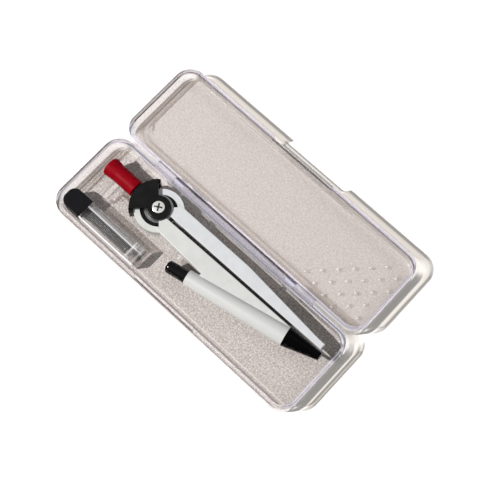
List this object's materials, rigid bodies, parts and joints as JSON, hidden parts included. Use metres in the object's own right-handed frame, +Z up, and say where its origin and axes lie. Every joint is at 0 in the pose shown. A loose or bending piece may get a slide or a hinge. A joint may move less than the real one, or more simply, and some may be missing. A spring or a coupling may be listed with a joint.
{
  "type": "drafting instrument case",
  "caption": "Clear hinged drafting case lying open, its tray holding a white compass with a built-in mechanical pencil and a capped box of spare leads.",
  "frame": {"origin": "on the table under the middle of the hinge, with the case lying open", "axes": "+X along the hinge from the compass handle to its points, +Y from the tray to the lid, +Z up"},
  "size_m": [0.15, 0.0966, 0.0145],
  "materials": {
    "clear_plastic": "clear polished polystyrene",
    "lead_box_plastic": "clear polished plastic",
    "red_grip": "red anodised",
    "white_enamel": "white enamel, satin",
    "white_plastic": "moulded",
    "black_plastic": "moulded, fine satin",
    "steel": "brushed",
    "bright_steel": "bright plated",
    "brass": "turned",
    "graphite": "fired graphite"
  },
  "bodies": {
    "tray": {"tray_shell": "clear_plastic"},
    "lid": {"lid_shell": "clear_plastic"},
    "compass_head": {"grip": "red_grip", "grip_stem": "steel", "yoke_front": "black_plastic", "yoke_back": "black_plastic", "pivot_screw": "bright_steel", "sleeve_nut": "bright_steel", "friction_disc_front": "steel", "friction_disc_back": "steel", "washer_front": "black_plastic", "washer_back": "black_plastic"},
    "needle_side": {"needle_leg": "white_enamel", "needle": "bright_steel"},
    "pencil_side": {"pencil_leg": "white_enamel", "leg_strip": "black_plastic", "nose_cone": "black_plastic", "tip_sleeve": "bright_steel", "clutch_ring": "brass", "return_spring": "steel"},
    "pencil_button": {"push_button": "black_plastic", "lead_reservoir": "white_plastic", "clutch_collet": "brass", "pencil_lead": "graphite"},
    "lead_cap": {"lead_box_cap": "black_plastic"},
    "lead_tube": {"lead_box": "lead_box_plastic", "spare_leads": "graphite"}
  },
  "joints": [
    {"name": "lid_hinge", "type": "hinge", "parent": "tray", "child": "lid", "pos_m": [0, 0, 0.01055], "axis": [1, 0, 0], "range_deg": [0, 180]},
    {"name": "compass_lift", "type": "slide", "parent": "tray", "child": "compass_head", "axis": [0, 0, 1], "range_m": [0, 0.15]},
    {"name": "needle_leg_open", "type": "hinge", "parent": "compass_head", "child": "needle_side", "pos_m": [-0.0341, -0.0156, 0.008], "axis": [0, 0, 1], "range_deg": [0, 40]},
    {"name": "pencil_leg_open", "type": "hinge", "parent": "compass_head", "child": "pencil_side", "pos_m": [-0.0341, -0.0156, 0.008], "axis": [0, 0, -1], "range_deg": [0, 40]},
    {"name": "button_press", "type": "slide", "parent": "pencil_side", "child": "pencil_button", "axis": [0.9804, 0.1968, 0], "range_m": [0, 0.002], "stiffness_N_per_m": 600, "springref_m": -0.001},
    {"name": "lead_box_lift", "type": "slide", "parent": "tray", "child": "lead_cap", "axis": [0, 0, 1], "range_m": [0, 0.06]},
    {"name": "lead_box_pull", "type": "slide", "parent": "lead_cap", "child": "lead_tube", "axis": [1, 0, 0], "range_m": [0, 0.01]}
  ],
  "couplings": [
    {"joint": "needle_leg_open", "follows": "compass_lift", "rad_per_m": 4.65},
    {"joint": "pencil_leg_open", "follows": "compass_lift", "rad_per_m": 4.65}
  ]
}
